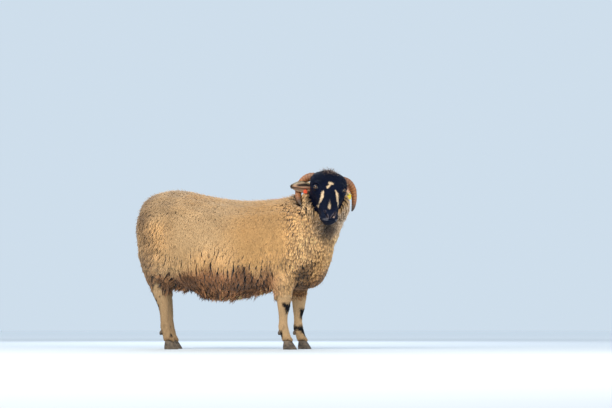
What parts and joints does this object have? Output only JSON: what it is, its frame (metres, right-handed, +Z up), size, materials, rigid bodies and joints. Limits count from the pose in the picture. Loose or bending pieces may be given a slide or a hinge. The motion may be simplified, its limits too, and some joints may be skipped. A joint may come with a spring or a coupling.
{
  "type": "sheep",
  "caption": "Still, life-size horned hill ewe in full fleece, standing square with its head turned to its right, black face, curled horns and plastic ear tags.",
  "frame": {"origin": "on the ground under the middle of the animal's bounding box", "axes": "+X from tail to chest, +Y to the animal's left, +Z up; the face looks out over the right side, towards -Y"},
  "size_m": [0.9386, 0.415, 0.7414],
  "materials": {
    "fleece": "matt cream wool",
    "leg_hair": "short cream hair with black patches",
    "face_hair": "short black hair with white marks",
    "ear_hair": "short cream and black hair",
    "horn": "ridged translucent horn",
    "hoof": "dull dark horn",
    "eye": "wet amber eye",
    "red_tag": "orange-red moulded plastic",
    "yellow_tag": "yellow moulded plastic"
  },
  "bodies": {
    "root": {"trunk": "fleece", "neck": "fleece", "tail": "fleece", "leg_fore_left": "leg_hair", "leg_fore_right": "leg_hair", "leg_hind_left": "leg_hair", "leg_hind_right": "leg_hair", "claw_fore_left_outer": "hoof", "claw_fore_left_inner": "hoof", "claw_fore_right_outer": "hoof", "claw_fore_right_inner": "hoof", "claw_hind_left_outer": "hoof", "claw_hind_left_inner": "hoof", "claw_hind_right_outer": "hoof", "claw_hind_right_inner": "hoof", "dewclaw_fore_left_outer": "hoof", "dewclaw_fore_left_inner": "hoof", "dewclaw_fore_right_outer": "hoof", "dewclaw_fore_right_inner": "hoof", "dewclaw_hind_left_outer": "hoof", "dewclaw_hind_left_inner": "hoof", "dewclaw_hind_right_outer": "hoof", "dewclaw_hind_right_inner": "hoof", "head": "face_hair", "ear_left": "ear_hair", "ear_right": "ear_hair", "eye_left": "eye", "eye_right": "eye", "horn_left": "horn", "horn_right": "horn", "tag_red": "red_tag", "tag_yellow": "yellow_tag"}
  },
  "joints": []
}
